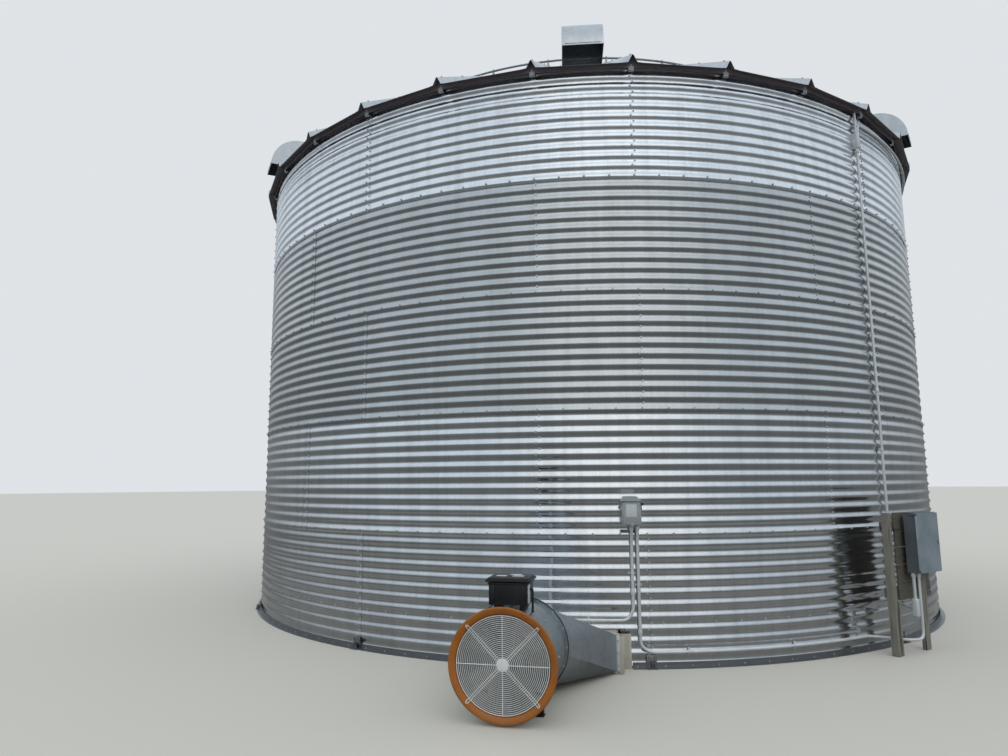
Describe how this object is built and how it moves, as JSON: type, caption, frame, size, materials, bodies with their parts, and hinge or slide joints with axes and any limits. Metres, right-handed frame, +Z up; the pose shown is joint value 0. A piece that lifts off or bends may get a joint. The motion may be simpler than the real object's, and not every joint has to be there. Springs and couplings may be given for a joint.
{
  "type": "grain silo",
  "caption": "Round bin of corrugated galvanised sheets with a ribbed cone roof, eave vents, an aeration fan on a square-to-round duct, pipework and a small panel stand.",
  "frame": {"origin": "on the bin's axis, at ground level, on the underside of its floor slab", "axes": "+Z up; -Y is the side with the fan; +X is to the right when the fan side is looked at"},
  "size_m": [9.3998, 10.9349, 8.2857],
  "materials": {
    "concrete": "rough cast",
    "galvanised_wall": "spangled zinc, weathered in streaks",
    "galvanised_roof": "spangled zinc, dull",
    "dark_steel": "aged zinc",
    "fan_orange": "satin paint, faded",
    "fan_steel": "zinc with dull patches",
    "guard_wire": "bright coated wire",
    "fan_cream": "satin paint, dusty",
    "motor_paint": "dusty paint",
    "black_plastic": "moulded, satin",
    "grey_enamel": "satin enamel",
    "conduit": "zinc, smooth",
    "old_wood": "grey weathered boards"
  },
  "bodies": {
    "bin": {"floor_slab": "concrete", "wall_sheet_entrance": "galvanised_wall", "wall_ring_1": "galvanised_wall", "wall_ring_2": "galvanised_wall", "wall_ring_3": "galvanised_wall", "wall_ring_4": "galvanised_wall", "wall_ring_5": "galvanised_wall", "base_angle": "dark_steel", "eave_ring": "dark_steel", "roof_hoop": "dark_steel", "roof_sector_1": "galvanised_roof", "roof_sector_2": "galvanised_roof", "roof_sector_3": "galvanised_roof", "roof_sector_4": "galvanised_roof", "roof_sector_5": "galvanised_roof", "roof_sector_6": "galvanised_roof", "roof_vent_1": "galvanised_roof", "roof_vent_2": "galvanised_roof", "roof_vent_3": "galvanised_roof", "roof_vent_4": "galvanised_roof", "roof_vent_5": "galvanised_roof", "roof_vent_6": "galvanised_roof", "fill_collar": "galvanised_roof", "fill_cap": "galvanised_roof", "inlet_bell": "fan_orange", "fan_housing": "fan_steel", "fan_transition": "fan_steel", "fan_guard": "guard_wire", "entrance_collar": "fan_cream", "fan_motor": "motor_paint", "fan_saddle": "black_plastic", "control_box": "black_plastic", "control_lid": "black_plastic", "control_cable": "black_plastic", "disconnect_lever": "black_plastic", "disconnect_box": "grey_enamel", "cabinet_shell": "grey_enamel", "fan_pipe": "conduit", "panel_pipe": "conduit", "eave_pipe": "conduit", "left_post": "old_wood", "right_post": "old_wood", "stand_boards": "old_wood"},
    "rotor": {"fan_rotor": "motor_paint"},
    "cabinet_leaf": {"cabinet_door": "grey_enamel"}
  },
  "joints": [
    {"name": "fan_spin", "type": "hinge", "parent": "bin", "child": "rotor", "pos_m": [-0.52848, -5.98622, 0.391], "axis": [-0.1219, -0.9925, 0], "continuous": true},
    {"name": "cabinet_door_swing", "type": "hinge", "parent": "bin", "child": "cabinet_leaf", "pos_m": [3.09535, -3.94239, 1.005], "axis": [0, 0, -1], "range_deg": [0, 120]}
  ]
}
